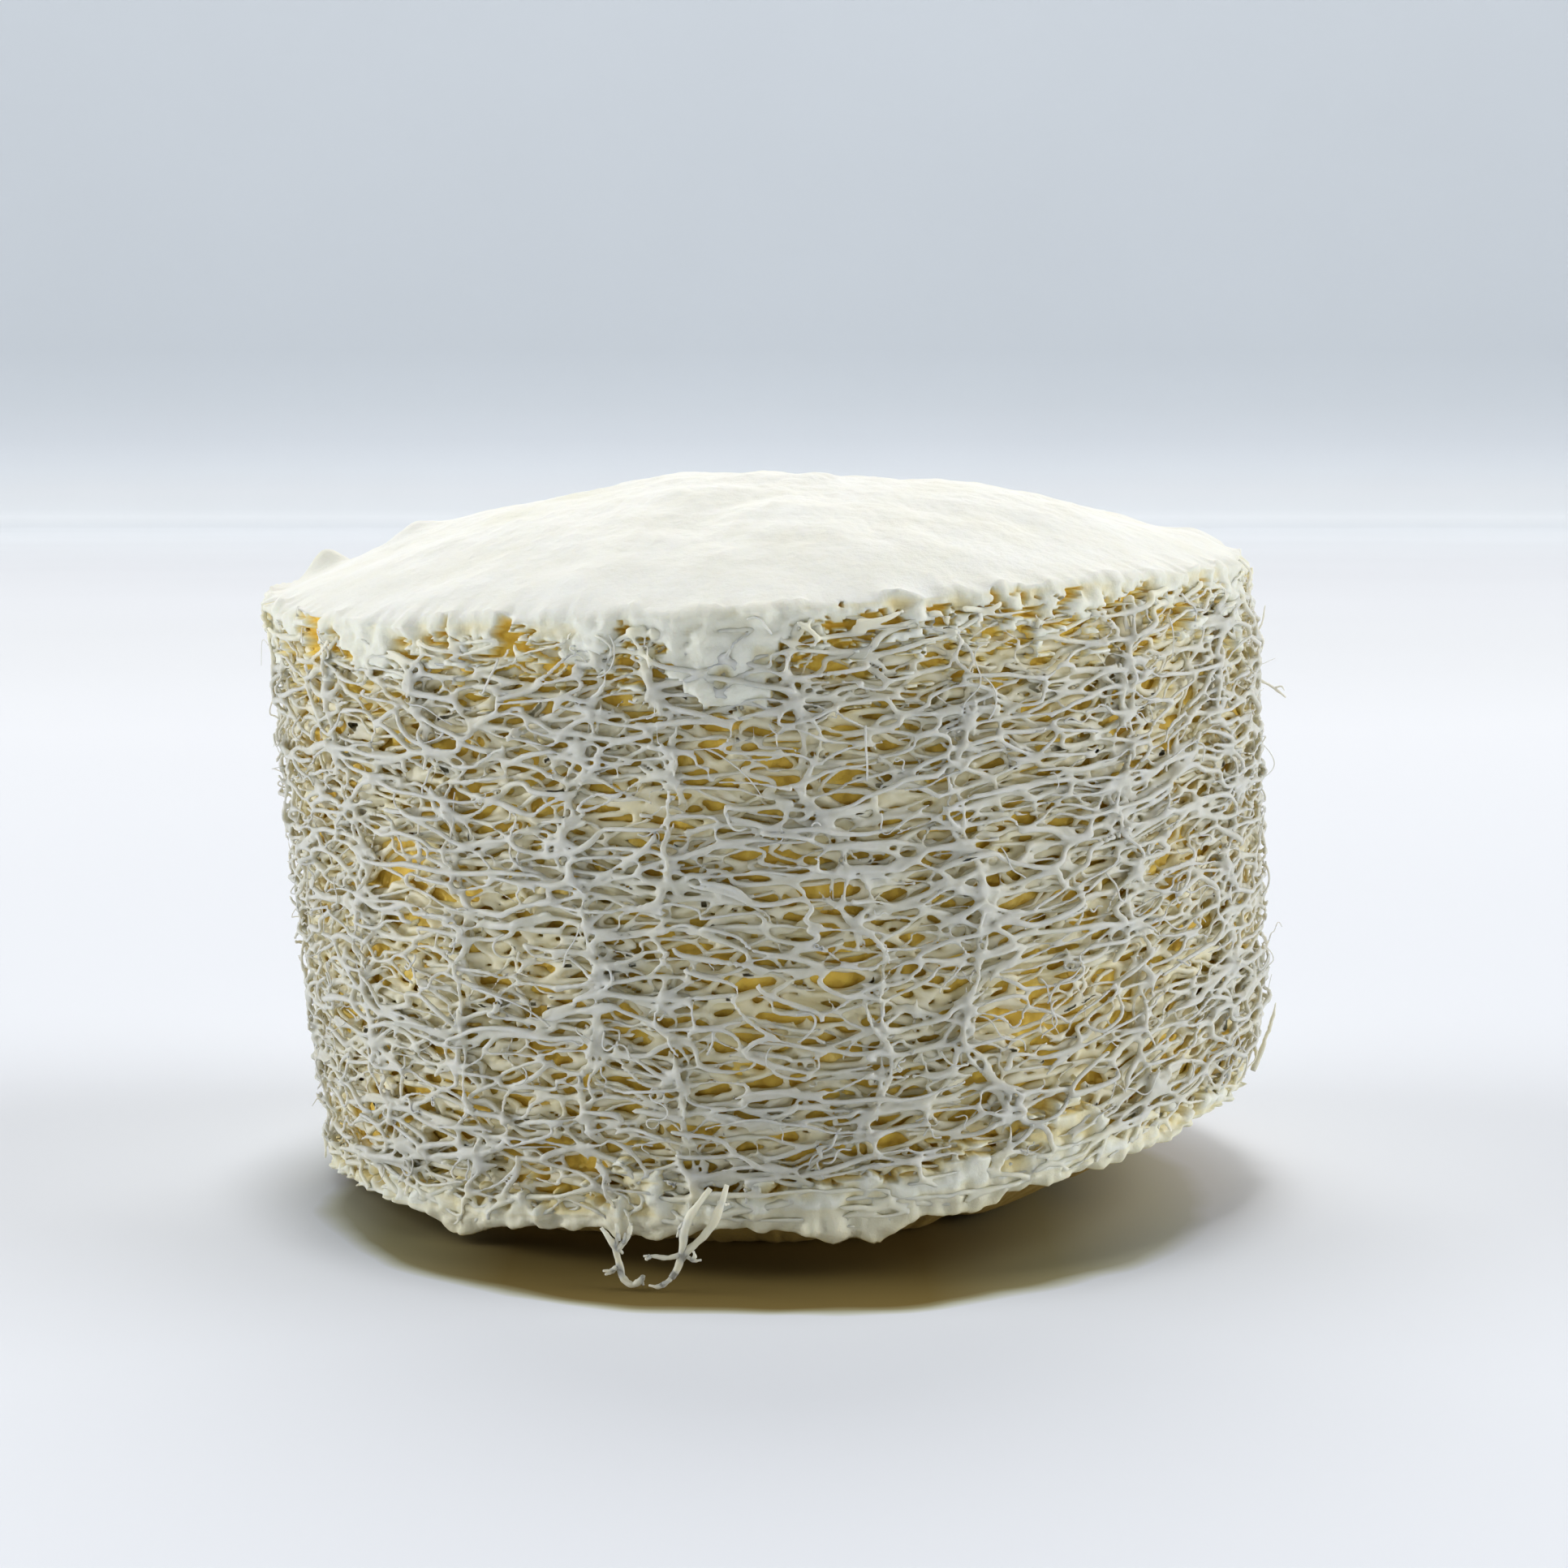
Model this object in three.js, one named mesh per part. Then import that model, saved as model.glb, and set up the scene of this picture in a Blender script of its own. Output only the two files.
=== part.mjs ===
// Luffa soap bar: a slice of dried luffa gourd with cream soap cast through it.
// The slice is a short, slightly tapered drum. The soap fills it, stands over
// its cut top as a low uneven dome, and bulges below its cut bottom, so the bar
// leans a few degrees on the flat that the bulge has worn where it rests.
// Millimetres, +Z up, origin under the middle of the bar on the resting surface.

import * as THREE from 'three';

// The luffa wall, measured along the drum's own axis.
const TOP_RADIUS = 30.45;
const BASE_RADIUS = 29.4;
const BARREL_SWELL = 0.3;
const WALL_HEIGHT = 31.8;
const WALL_THICKNESS = 3;
const CUT_EDGE = 0.6;

// The bottom corner on the right is worn round: how deep, how far up, and how far round.
const WORN_DEPTH = 1.3;
const WORN_HEIGHT = 4.5;
const WORN_SPREAD = 0.5;

// Near its top the wall is worn in on the right and flares out on the left.
const RIM_CHANGE_FROM = 28;
const RIM_CHANGE_TO = 32.5;
const RIM_FLARES = [
  { degrees: -4, spread: 0.42, height: -0.4 },
  { degrees: 176, spread: 0.4, height: 0.6 },
];

// The rim stands higher on the left, and a little higher on the right.
const RIM_LIFT_FROM = 26;
const RIM_LIFT_TO = 32;
const RIM_LIFTS = [
  { degrees: 169, spread: 0.65, height: 2.1 },
  { degrees: -2, spread: 0.4, height: 0.3 },
];

// The bottom cut isn't square to the axis: it rises towards the right.
const BASE_CUT_SLOPE = Math.tan(THREE.MathUtils.degToRad(1.9));

// The soap, measured from the wall that it is cast around.
const CAST_GAP = 0.3;
const RIM_THICKNESS = 1.0;
const RIM_ROUNDING = 0.5;
const DOME_HEIGHT = 7.0;
const DOME_FULLNESS = 2.2;
const DOME_LEAN = 0.16;
const FLASH_THICKNESS = 0.8;
const BULGE_DEPTH = 5.0;
const BULGE_FULLNESS = 4.5;

// How the bar lies: its right side is raised, about the front-to-back axis.
const LEAN = THREE.MathUtils.degToRad(3.75);
const BASE_CENTRE_HEIGHT = 4.4;

// The gourd's outline is slightly lobed.
const LOBES = [
  { count: 2, depth: 0.22, phase: 0.6 },
  { count: 5, depth: 0.2, phase: 1.3 },
  { count: 9, depth: 0.12, phase: 2.2 },
];

// Broad swellings and hollows of the dome: place, spread and height.
const SWELLINGS = [
  { x: -18, y: 4, spread: 4.5, height: 0.3 },
  { x: -28.4, y: 3, spread: 1.5, height: 3.0 },
  { x: -24.6, y: 3, spread: 1.6, height: -0.6 },
  { x: -21.4, y: 2, spread: 1.5, height: 0.7 },
  { x: -9.5, y: 3, spread: 3.5, height: -0.5 },
  { x: -3, y: -6, spread: 6, height: 0.4 },
  { x: 6.3, y: 5, spread: 4, height: -1.0 },
  { x: 15, y: -10, spread: 7, height: 0.6 },
  { x: 28.6, y: 1, spread: 1.9, height: 1.5 },
  { x: 27.6, y: -6, spread: 2.6, height: 0.8 },
];

// Facets around the drum, along its wall, and across each end of the soap.
const AROUND = 80;
const WALL_STEPS = 6;
const CAP_STEPS = 9;

// Profiles are drawn at this radius, then follow the gourd's real outline.
const DRAWN_RADIUS = 30.45;
const RIM_LEVEL = WALL_HEIGHT + CAST_GAP;
const FLASH_LEVEL = -CAST_GAP;

function outlineRadius(angle, level) {
  const along = THREE.MathUtils.clamp(level / WALL_HEIGHT, 0, 1);
  let radius = THREE.MathUtils.lerp(BASE_RADIUS, TOP_RADIUS, along);
  radius += BARREL_SWELL * Math.sin(Math.PI * along);
  for (const lobe of LOBES) {
    radius += lobe.depth * Math.cos(lobe.count * angle + lobe.phase);
  }
  const low = 1 - THREE.MathUtils.clamp(level / WORN_HEIGHT, 0, 1);
  radius -= WORN_DEPTH * Math.exp(-((angle / WORN_SPREAD) ** 2)) * low ** 2;
  const high = THREE.MathUtils.smoothstep(level, RIM_CHANGE_FROM, RIM_CHANGE_TO);
  return radius + swells(angle, RIM_FLARES) * high;
}

// The sum of round swells at this angle.
function swells(angle, places) {
  let total = 0;
  for (const { degrees, spread, height } of places) {
    let away = Math.abs(angle - THREE.MathUtils.degToRad(degrees)) % (2 * Math.PI);
    away = Math.min(away, 2 * Math.PI - away);
    total += height * Math.exp(-((away / spread) ** 2));
  }
  return total;
}

// Extra height of the dome over its plain round form, none at the rim.
function domeRelief(x, y) {
  const across = Math.hypot(x, y) / DRAWN_RADIUS;
  const fade = Math.max(0, 1 - across ** DOME_FULLNESS);
  let relief = -DOME_HEIGHT * fade * DOME_LEAN * x / DRAWN_RADIUS;
  for (const swelling of SWELLINGS) {
    const away = Math.hypot(x - swelling.x, y - swelling.y) / swelling.spread;
    relief += swelling.height * Math.exp(-away * away) * Math.min(1, 4 * fade);
  }
  return relief;
}

// Turns a profile about the drum's axis, then gives each point its lobed radius,
// its relief, and its place on the leaning bar. Nothing reaches below the floor.
function turnedSolid(profile, reliefAt) {
  const geometry = new THREE.LatheGeometry(profile, AROUND);
  geometry.rotateX(Math.PI / 2);
  const lean = new THREE.Matrix4().makeRotationY(-LEAN);
  const lift = new THREE.Matrix4().makeTranslation(0, 0, BASE_CENTRE_HEIGHT);
  const settle = lift.multiply(lean);
  const points = geometry.attributes.position;
  const point = new THREE.Vector3();
  for (let i = 0; i < points.count; i += 1) {
    point.fromBufferAttribute(points, i);
    const angle = Math.atan2(point.y, point.x);
    const stretch = outlineRadius(angle, point.z) / DRAWN_RADIUS;
    const nearBase = THREE.MathUtils.clamp(1 - point.z / WALL_HEIGHT, 0, 1);
    const nearRim = THREE.MathUtils.smoothstep(point.z, RIM_LIFT_FROM, RIM_LIFT_TO);
    const across = Math.min(1, Math.hypot(point.x, point.y) / DRAWN_RADIUS);
    point.z += reliefAt(point.x, point.y, point.z) + BASE_CUT_SLOPE * point.x * nearBase;
    point.z += swells(angle, RIM_LIFTS) * nearRim * across ** 4;
    point.x *= stretch;
    point.y *= stretch;
    point.applyMatrix4(settle);
    point.z = Math.max(0, point.z);
    points.setXYZ(i, point.x, point.y, point.z);
  }
  return geometry;
}

// The luffa wall's section: a closed loop with its cut edges eased.
function wallProfile() {
  const outer = DRAWN_RADIUS;
  const inner = DRAWN_RADIUS - WALL_THICKNESS;
  const profile = [];
  for (let i = 0; i <= WALL_STEPS; i += 1) {
    const level = THREE.MathUtils.lerp(CUT_EDGE, WALL_HEIGHT - CUT_EDGE, i / WALL_STEPS);
    profile.push(new THREE.Vector2(outer, level));
  }
  profile.push(new THREE.Vector2(outer - CUT_EDGE, WALL_HEIGHT));
  for (let i = 0; i <= WALL_STEPS; i += 1) {
    profile.push(new THREE.Vector2(inner, WALL_HEIGHT * (1 - i / WALL_STEPS)));
  }
  profile.push(new THREE.Vector2(outer - CUT_EDGE, 0));
  profile.push(profile[0].clone());
  return profile;
}

// The soap's section, from the middle of its bulge to the top of its dome.
function soapProfile() {
  const core = DRAWN_RADIUS - WALL_THICKNESS - CAST_GAP;
  const flashRadius = DRAWN_RADIUS - RIM_ROUNDING;
  const profile = [];
  for (let i = 0; i <= CAP_STEPS; i += 1) {
    const across = i / CAP_STEPS;
    const depth = BULGE_DEPTH * (1 - across ** BULGE_FULLNESS);
    const level = FLASH_LEVEL - FLASH_THICKNESS - depth;
    profile.push(new THREE.Vector2(flashRadius * across, level));
  }
  profile.push(new THREE.Vector2(DRAWN_RADIUS, FLASH_LEVEL - FLASH_THICKNESS / 2));
  profile.push(new THREE.Vector2(flashRadius, FLASH_LEVEL));
  for (let i = 0; i <= WALL_STEPS; i += 1) {
    const level = THREE.MathUtils.lerp(FLASH_LEVEL, RIM_LEVEL, i / WALL_STEPS);
    profile.push(new THREE.Vector2(core, level));
  }
  profile.push(new THREE.Vector2(flashRadius, RIM_LEVEL));
  profile.push(new THREE.Vector2(DRAWN_RADIUS, RIM_LEVEL + RIM_THICKNESS / 2));
  for (let i = CAP_STEPS; i >= 0; i -= 1) {
    const across = i / CAP_STEPS;
    const rise = DOME_HEIGHT * (1 - across ** DOME_FULLNESS);
    profile.push(new THREE.Vector2(flashRadius * across, RIM_LEVEL + RIM_THICKNESS + rise));
  }
  return profile;
}

function luffaSponge() {
  const material = new THREE.MeshStandardMaterial({ color: 0xd6d4c8, roughness: 0.85, metalness: 0 });
  const mesh = new THREE.Mesh(turnedSolid(wallProfile(), () => 0), material);
  mesh.name = 'luffa_sponge';
  return mesh;
}

function soap() {
  const material = new THREE.MeshStandardMaterial({ color: 0xf5f0dc, roughness: 0.5, metalness: 0 });
  const onDome = (x, y, level) => (level > RIM_LEVEL + RIM_THICKNESS / 2 ? domeRelief(x, y) : 0);
  const mesh = new THREE.Mesh(turnedSolid(soapProfile(), onDome), material);
  mesh.name = 'soap';
  return mesh;
}

const bar = new THREE.Group();
bar.name = 'luffa_soap_bar';
bar.add(luffaSponge(), soap());

// The origin goes under the middle of the finished bar.
const extent = new THREE.Box3().setFromObject(bar);
const middle = extent.getCenter(new THREE.Vector3());
bar.position.set(-middle.x, -middle.y, -extent.min.z);

export default bar;
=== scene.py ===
"""A luffa soap bar: cream soap cast through a slice of dried luffa gourd.

The CAD model's two plain solids are replaced by the net of plant fibres and by
the soap inside, over and under it. Lengths are in millimetres until a mesh is made.
"""
import math

import bpy
import numpy as np
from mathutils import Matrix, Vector, geometry


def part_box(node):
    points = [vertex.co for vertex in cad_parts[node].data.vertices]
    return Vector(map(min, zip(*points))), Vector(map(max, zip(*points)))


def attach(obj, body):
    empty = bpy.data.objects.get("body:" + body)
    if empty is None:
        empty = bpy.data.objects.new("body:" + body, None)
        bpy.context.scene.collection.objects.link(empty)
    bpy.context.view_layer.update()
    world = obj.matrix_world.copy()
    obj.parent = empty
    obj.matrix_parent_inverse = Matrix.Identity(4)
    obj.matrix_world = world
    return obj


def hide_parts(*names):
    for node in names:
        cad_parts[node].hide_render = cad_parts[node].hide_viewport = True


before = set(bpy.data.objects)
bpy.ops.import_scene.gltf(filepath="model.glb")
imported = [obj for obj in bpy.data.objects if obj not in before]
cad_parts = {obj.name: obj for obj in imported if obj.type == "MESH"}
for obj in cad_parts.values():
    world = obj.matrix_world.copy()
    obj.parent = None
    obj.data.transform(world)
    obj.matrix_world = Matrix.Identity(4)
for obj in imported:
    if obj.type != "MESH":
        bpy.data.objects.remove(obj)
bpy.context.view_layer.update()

MM = 0.001
TURN = 2 * math.pi
# A swing so long that a field made with it doesn't change that way.
ENDLESS = 1e9

# The drum, as the CAD part has it, measured along its own leaning axis.
TOP_RADIUS = 30.45
BASE_RADIUS = 29.4
BARREL_SWELL = 0.3
WALL_HEIGHT = 31.8
BASE_CUT_SLOPE = math.tan(math.radians(1.9))
LEAN = math.radians(3.75)
BASE_CENTRE_HEIGHT = 4.4
LOBES = ((2, 0.22, 0.6), (5, 0.2, 1.3), (9, 0.12, 2.2))
CUT_EDGE = 0.6
WORN_DEPTH = 1.3
WORN_HEIGHT = 4.5
WORN_SPREAD = 0.5
RIM_CHANGE_FROM, RIM_CHANGE_TO = 28, 32.5
RIM_FLARES = ((-4, 0.42, -0.4), (176, 0.4, 0.6))
RIM_LIFT_FROM, RIM_LIFT_TO = 26, 32
RIM_LIFTS = ((169, 0.65, 2.1), (-2, 0.4, 0.3))

# The wall is unrolled at its mean radius: u round from the front, v up, w inwards.
MEAN_RADIUS = 30.7
GIRTH = TURN * MEAN_RADIUS

# Where the gourd's upright veins stand, round the wall from the middle of its front.
VEINS = (-29, -20, -11, -5.5, 3, 11.1, 23, 33, 44, 52, 63, 71, 80, 90, 99, 110, 121, 130, 142, 151)

# The flash's lower edge: place round the wall, and level.
FLASH_EDGE = (
    (-96.4, -1.3), (-80, -0.9), (-68, -1.5), (-57, -0.8), (-44, -0.7), (-35, -0.4), (-30, -0.5),
    (-27, -0.75), (-25, -1), (-24.7, -1.85), (-23.4, -1.7), (-23, -2.25), (-21.4, -1.8), (-20, -1.35),
    (-17, -1.3), (-13.7, -1.3), (-12.1, -1.1), (-11.4, -1.7), (-8.6, -1.85), (-6.6, -1.65),
    (-5.2, -1.15), (-3.6, -1.2), (-2, -1.7), (-0.6, -1.6), (0.7, -2.1), (2.2, -2.65), (3.1, -2.5),
    (4.7, -3), (6.1, -2.3), (7.4, -1.8), (9.2, -2.05), (11, -2.05), (13.1, -1.45), (14.7, -1.15),
    (15.1, -1.45), (17.5, -1.25), (21.9, -1.15), (25.8, -0.85), (32, -0.45), (44, -0.45), (53, -0.8),
    (62, -1.4), (73, -0.9), (86, -1.6), (96.4, -1.3),
)

# The soap's ends, as the CAD part has them. A swelling is its place, its spread and its height.
DOME_HEIGHT = 7.0
DOME_FULLNESS = 2.2
DOME_LEAN = 0.16
BULGE_DEPTH = 5.0
BULGE_FULLNESS = 4.5
SWELLINGS = (
    (-18, 4, 4.5, 0.3), (-28.4, 3, 1.5, 3), (-24.6, 3, 1.6, -0.6), (-21.4, 2, 1.5, 0.7),
    (-9.5, 3, 3.5, -0.5), (-3, -6, 6, 0.4), (6.3, 5, 4, -1), (15, -10, 7, 0.6), (28.6, 1, 1.9, 1.5),
    (27.6, -6, 2.6, 0.8),
)


# -------- the drum's shape

def ease(t):
    """A smooth step from 0 to 1."""
    t = np.clip(t, 0, 1)
    return t * t * (3 - 2 * t)


def outline_radius(angle, level):
    """The wall's outer radius at an angle and a level up the drum."""
    along = np.clip(level / WALL_HEIGHT, 0, 1)
    radius = BASE_RADIUS + (TOP_RADIUS - BASE_RADIUS) * along
    radius = radius + BARREL_SWELL * np.sin(math.pi * along)
    for count, depth, phase in LOBES:
        radius = radius + depth * np.cos(count * angle + phase)
    aside = (angle + math.pi) % TURN - math.pi
    low = 1 - np.clip(level / WORN_HEIGHT, 0, 1)
    radius = radius - WORN_DEPTH * np.exp(-(aside / WORN_SPREAD) ** 2) * low ** 2
    high = ease((level - RIM_CHANGE_FROM) / (RIM_CHANGE_TO - RIM_CHANGE_FROM))
    return radius + swells(angle, RIM_FLARES) * high


def swells(angle, places):
    """The sum of round swells at this angle, from the degrees, spread and height of each."""
    total = 0
    for degrees, spread, height in places:
        away = (angle - math.radians(degrees) + math.pi) % TURN - math.pi
        total = total + height * np.exp(-(away / spread) ** 2)
    return total


def lifted(angle, level):
    """A level on the wall, raised where the rim stands higher."""
    near_rim = ease((level - RIM_LIFT_FROM) / (RIM_LIFT_TO - RIM_LIFT_FROM))
    return level + swells(angle, RIM_LIFTS) * near_rim


def settled(x, y, z, shift):
    """Points of the upright drum, put where the leaning bar has them."""
    z = z + BASE_CUT_SLOPE * x * np.clip(1 - z / WALL_HEIGHT, 0, 1)
    cos, sin = math.cos(LEAN), math.sin(LEAN)
    return np.stack([x * cos - z * sin, y, x * sin + z * cos + BASE_CENTRE_HEIGHT], -1) + shift


def shift_to_frame():
    """The sideways shift between the drum's axis and the frame's origin."""
    levels = np.linspace(CUT_EDGE, WALL_HEIGHT - CUT_EDGE, 60)
    angle, level = np.meshgrid(np.linspace(0, TURN, 721), levels)
    radius = outline_radius(angle, level)
    place = settled(radius * np.cos(angle), radius * np.sin(angle), level, 0).reshape(-1, 3)
    low, high = (np.array(corner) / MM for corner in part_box("luffa_sponge"))
    middle = (low + high - place.min(0) - place.max(0)) / 2
    return np.array([middle[0], middle[1], 0.0])


SHIFT = shift_to_frame()


def round_from(u, place):
    """The signed distance round the wall from a place on it."""
    return (u - place + GIRTH / 2) % GIRTH - GIRTH / 2


def on_wall(u, v, w):
    """Places on the unrolled wall, round from the front, up and inwards, as points of the bar."""
    angle = u / GIRTH * TURN - math.pi / 2
    radius = outline_radius(angle, v) - w
    return settled(radius * np.cos(angle), radius * np.sin(angle), lifted(angle, v), SHIFT)


class Waves:
    """A smooth random field with swings about `long` by `tall`, which joins up round the wall."""

    def __init__(self, rng, long, tall=ENDLESS, count=14):
        self.rounds = np.round(rng.normal(0, GIRTH / long, count)) * TURN / GIRTH
        self.climbs = rng.normal(0, TURN / tall, count)
        self.phases = rng.uniform(0, TURN, count)

    def __call__(self, u, v):
        total = 0
        for a, b, phase in zip(self.rounds, self.climbs, self.phases):
            total = total + np.sin(a * u + b * v + phase)
        return total * math.sqrt(2 / len(self.phases))


# -------- solid strands from a field

# The lowest level of a block, and its height over the wall's.
BLOCK_FOOT = -2.6
BLOCK_SPARE = 4.2


class Block:
    """A block of unrolled wall: strands are laid in it, and turned into one smooth skin."""

    def __init__(self, pitch, blur, w_range):
        w_low, w_high = w_range
        self.origin = np.array([0, BLOCK_FOOT, w_low])
        self.top = WALL_HEIGHT - 0.1
        self.blur = blur
        counts = (GIRTH / pitch[0], (WALL_HEIGHT + BLOCK_SPARE) / pitch[1], (w_high - w_low) / pitch[2])
        self.shape = tuple(round(n) for n in counts)
        self.pitch = np.array([GIRTH / self.shape[0], pitch[1], pitch[2]])
        self.density = np.zeros(math.prod(self.shape))

    def thickness_weight(self, radius):
        """The weight per millimetre of a strand that comes out with this radius."""
        across, inward = self.blur ** 2 + self.pitch[1:] ** 2 / 6
        return TURN * math.sqrt(across * inward) * np.exp(radius ** 2 / (across + inward))

    def lay(self, u, v, w, weight):
        """Adds points of weight, shared between the eight grid points round each."""
        at = (np.stack([u, v, w], -1) - self.origin).reshape(-1, 3) / self.pitch
        weight = np.broadcast_to(weight, u.shape).ravel() / self.pitch.prod()
        low = np.floor(at).astype(np.int64)
        inside = ((low[:, 1:] >= 2) & (low[:, 1:] < np.array(self.shape[1:]) - 3)).all(1)
        at, low, weight = at[inside], low[inside], weight[inside]
        part = at - low
        for corner in np.ndindex(2, 2, 2):
            share = np.prod(np.where(corner, part, 1 - part), axis=1)
            i, j, k = (low + corner).T
            spot = ((i % self.shape[0]) * self.shape[1] + j) * self.shape[2] + k
            self.density += np.bincount(spot, weight * share, len(self.density))

    def blurred(self):
        """The laid weight, spread out by the blur."""
        field = self.density.reshape(self.shape).astype(np.float32)
        for axis, pitch in enumerate(self.pitch):
            spread = self.blur / pitch
            reach = math.ceil(3.6 * spread)
            taps = np.exp(-0.5 * (np.arange(-reach, reach + 1) / spread) ** 2)
            taps /= taps.sum()
            field = sum(tap * np.roll(field, i - reach, axis) for i, tap in enumerate(taps))
        return field

    def skin(self):
        """The skin's points (u, v, w) and its quads."""
        field = np.log(np.maximum(self.blurred(), 1e-6))
        inside = field > 0
        inside[:, :1] = inside[:, -1:] = False
        inside[:, :, :1] = inside[:, :, -1:] = False
        wrapped = np.concatenate([inside, inside[:1]]).astype(np.uint8)
        corners = sum(
            wrapped[i:self.shape[0] + i, j:self.shape[1] - 1 + j, k:self.shape[2] - 1 + k]
            for i, j, k in np.ndindex(2, 2, 2)
        )
        cells = np.argwhere((corners > 0) & (corners < 8))
        number = np.full(corners.shape, -1, np.int32)
        number[tuple(cells.T)] = np.arange(len(cells))
        places = self.cell_places(field, inside, cells) * self.pitch + self.origin
        return without_crumbs(places, self.quads(inside, number))

    def cell_places(self, field, inside, cells):
        """One point per crossed cell: the mean of where the skin cuts the cell's edges."""
        total = np.zeros((len(cells), 3), np.float32)
        count = np.zeros(len(cells), np.float32)
        size = self.shape[0]

        def at(array, corner):
            i, j, k = (cells + corner).T
            return array[i % size, j, k]

        for axis in range(3):
            along = np.eye(3, dtype=int)[axis]
            for corner in np.ndindex(2, 2, 2):
                if corner[axis]:
                    continue
                a, b = at(field, corner), at(field, corner + along)
                cut = at(inside, corner) != at(inside, corner + along)
                share = np.where(cut, a / np.where(cut, a - b, 1), 0)
                place = np.array(corner) + share[:, None].clip(0, 1) * along
                total += place * cut[:, None]
                count += cut
        return cells + total / np.maximum(count, 1)[:, None]

    def quads(self, inside, number):
        """A quad round each grid edge that the skin crosses, facing away from the strand."""
        found = []
        for axis in range(3):
            ahead = np.roll(inside, -1, axis)
            crossing = np.argwhere(inside != ahead)
            j, k = crossing[:, 1:].T
            crossing = crossing[(j > 0) & (k > 0) & (j < self.shape[1] - 1) & (k < self.shape[2] - 1)]
            one, two = np.eye(3, dtype=int)[[(axis + 1) % 3, (axis + 2) % 3]]
            ring = []
            for back in (one * 0, one, one + two, two):
                i, j, k = (crossing - back).T
                ring.append(number[i % self.shape[0], j, k])
            ring = np.stack(ring, 1)
            leaving = inside[tuple(crossing.T)]
            found.append(np.where(leaving[:, None], ring, ring[:, ::-1]))
        return np.concatenate(found)


def without_crumbs(places, quads, smallest=400):
    """The same skin without its loose bits of fewer points than this."""
    label = np.arange(len(places))
    while True:
        lowest = label[quads].min(1)
        lower = label.copy()
        for corner in quads.T:
            np.minimum.at(lower, corner, lowest)
        lower = np.minimum(lower, lower[lower])
        lower = lower[lower]
        if (lower == label).all():
            break
        label = lower
    kept = np.bincount(label, minlength=len(label))[label] >= smallest
    renumbered = np.cumsum(kept) - 1
    return places[kept], renumbered[quads[kept[quads[:, 0]]]]


# -------- the luffa net

def web(rng, pitch_u, pitch_v, pinch):
    """The two ends of each strand of a random net, with cells about pitch_u by pitch_v.

    Short steep strands are drawn together by pinch, from 0 to 1, so that level strands
    meet side by side and part again round lens-shaped cells.
    """
    columns = round(GIRTH / pitch_u)
    rows = math.ceil((WALL_HEIGHT + 7) / pitch_v)
    row, column = np.mgrid[0:rows, 0:columns]
    u = (column + 0.5 * (row % 2) + rng.uniform(-0.46, 0.46, row.shape)) * GIRTH / columns
    v = (row + rng.uniform(-0.46, 0.46, row.shape)) * pitch_v - 4
    kept = rng.random(row.shape) > 0.08
    seeds = np.stack([u[kept] % GIRTH, v[kept]], 1)
    seam = 4 * pitch_u
    before = seeds[seeds[:, 0] > GIRTH - seam] - (GIRTH, 0)
    after = seeds[seeds[:, 0] < seam] + (GIRTH, 0)
    seeds = np.concatenate([seeds, before, after]) / (pitch_u, pitch_v)
    points, _, faces = geometry.delaunay_2d_cdt([Vector(p) for p in seeds], [], [], 0, 1e-6)[:3]
    corners = np.array(faces)
    centres = np.array(points)[corners].mean(1) * (pitch_u, pitch_v)
    sides = np.sort(np.stack([corners, np.roll(corners, 1, 1)], 2), 2).reshape(-1, 2)
    key = sides[:, 0] * len(points) + sides[:, 1]
    order = np.argsort(key, kind="stable")
    shared = key[order][1:] == key[order][:-1]
    one, two = order[:-1][shared] // 3, order[1:][shared] // 3
    run = centres[two] - centres[one]
    steep = np.abs(run[:, 1]) > 0.3 * np.abs(run[:, 0])
    pull, pulls = np.zeros_like(centres), np.zeros((len(centres), 1))
    for cell, way in ((one, 1), (two, -1)):
        np.add.at(pull, cell[steep], way * run[steep] * pinch / 2)
        np.add.at(pulls, cell[steep], 1)
    centres = centres + pull / np.maximum(pulls, 1)
    ends = np.stack([centres[one], centres[two]], 1)
    middle = ends[:, :, 0].mean(1)
    return ends[(middle >= 0) & (middle < GIRTH)]


def slant(u):
    """How far the strands climb as they run round, on the right of the front."""
    away = round_from(u, 26)
    return 3.2 * np.tanh(away / 12) * np.exp(-(away / 34) ** 2)


class Drift:
    """Bends a layer of the net, so that its strands run in long waves."""

    def __init__(self, rng, sway):
        self.broad = Waves(rng, 34, 55)
        self.middle = Waves(rng, 11, 13)
        self.fine = Waves(rng, 4, 4, 20)
        self.along = Waves(rng, 5, 4)
        self.sway = sway

    def __call__(self, u, v):
        lift = 0.75 * self.broad(u, v) + 0.3 * self.middle(u, v) + 0.06 * self.fine(u, v)
        lift = lift + slant(u)
        slide = 0.5 * self.along(u, v)
        return u + self.sway * slide, v + self.sway * lift


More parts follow.
